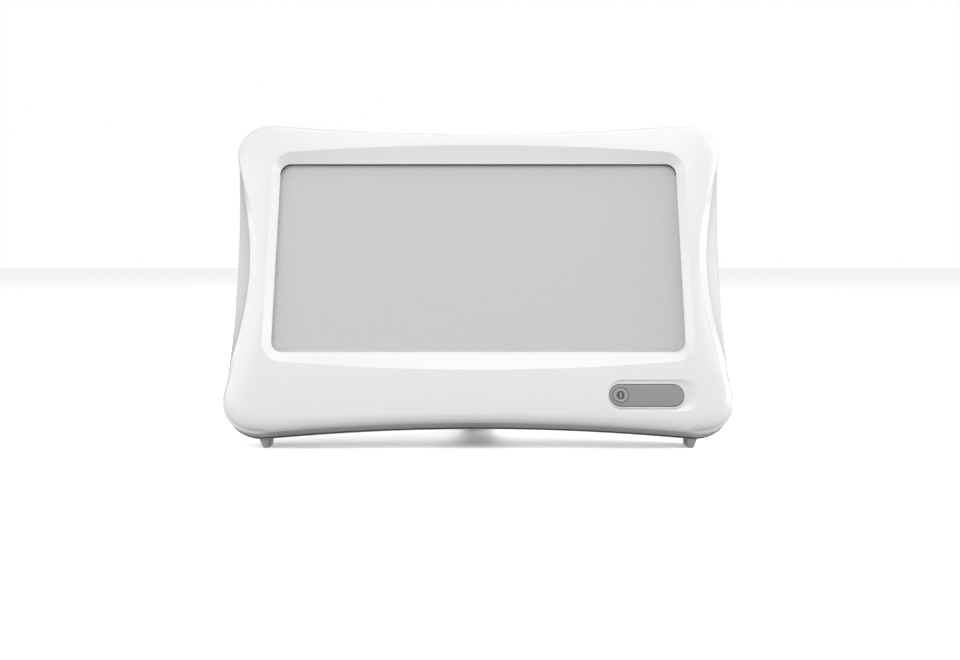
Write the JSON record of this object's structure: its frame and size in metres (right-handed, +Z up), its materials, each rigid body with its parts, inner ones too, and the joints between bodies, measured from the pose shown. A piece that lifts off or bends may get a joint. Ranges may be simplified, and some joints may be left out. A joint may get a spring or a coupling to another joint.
{
  "type": "light therapy lamp",
  "caption": "Leaning landscape light panel in a pinched white housing, with a recessed push-button control, front toes and a fold-out rear leg.",
  "frame": {"origin": "on the floor plane, under the middle of the lamp's outer box", "axes": "+X to the viewer's right along the width, -Y the lit front, +Z up; the housing leans back 16 degrees"},
  "size_m": [0.3316, 0.1206, 0.2134],
  "materials": {
    "white_shell": "satin moulded",
    "white_cover": "fine texture",
    "diffuser": "pebbled",
    "diffusing_film": "matte",
    "reflector_white": "matte",
    "grey_insert": "satin",
    "grey_button": "satin",
    "grey_rubber": "matte",
    "circuit_board": "lacquered",
    "lamp_board": "lacquered",
    "steel": "plated",
    "black_plastic": "satin",
    "ferrite": "matte",
    "aluminium": "extruded",
    "lead_sheath": "satin"
  },
  "bodies": {
    "housing": {"front_bezel": "white_shell", "rear_cover": "white_cover", "diffuser_panel": "diffuser", "diffuser_film": "diffusing_film", "reflector_tray": "reflector_white", "led_strip_1": "lamp_board", "led_strip_2": "lamp_board", "led_strip_3": "lamp_board", "led_strip_4": "lamp_board", "led_strip_5": "lamp_board", "control_insert": "grey_insert", "switch_board": "circuit_board", "tact_switch": "black_plastic", "switch_board_screw_1": "steel", "switch_board_screw_2": "steel", "tray_screw_1": "steel", "tray_screw_2": "steel", "tray_screw_3": "steel", "tray_screw_4": "steel", "housing_screw_1": "steel", "housing_screw_2": "steel", "housing_screw_3": "steel", "housing_screw_4": "steel", "housing_screw_5": "steel", "housing_screw_6": "steel", "hinge_pin": "steel", "hinge_washer_left": "black_plastic", "hinge_washer_right": "black_plastic", "driver_board": "circuit_board", "driver_screw_1": "steel", "driver_screw_2": "steel", "driver_screw_3": "steel", "driver_screw_4": "steel", "driver_coil": "ferrite", "driver_capacitor": "black_plastic", "driver_heat_sink": "aluminium", "dc_jack": "black_plastic", "switch_lead": "lead_sheath", "led_lead": "lead_sheath", "jack_lead": "lead_sheath", "left_foot": "grey_rubber", "right_foot": "grey_rubber"},
    "leg": {"rear_leg": "white_cover", "leg_pad": "grey_rubber"},
    "button": {"power_button": "grey_button"}
  },
  "joints": [
    {"name": "leg_fold", "type": "hinge", "parent": "housing", "child": "leg", "pos_m": [0, -0.01611, 0.01927], "axis": [1, 0, 0], "range_deg": [0, 85.5]},
    {"name": "button_press", "type": "slide", "parent": "housing", "child": "button", "axis": [0, 0.9613, -0.2756], "range_m": [0, 0.0006], "stiffness_N_per_m": 900, "springref_m": -0.0004}
  ]
}
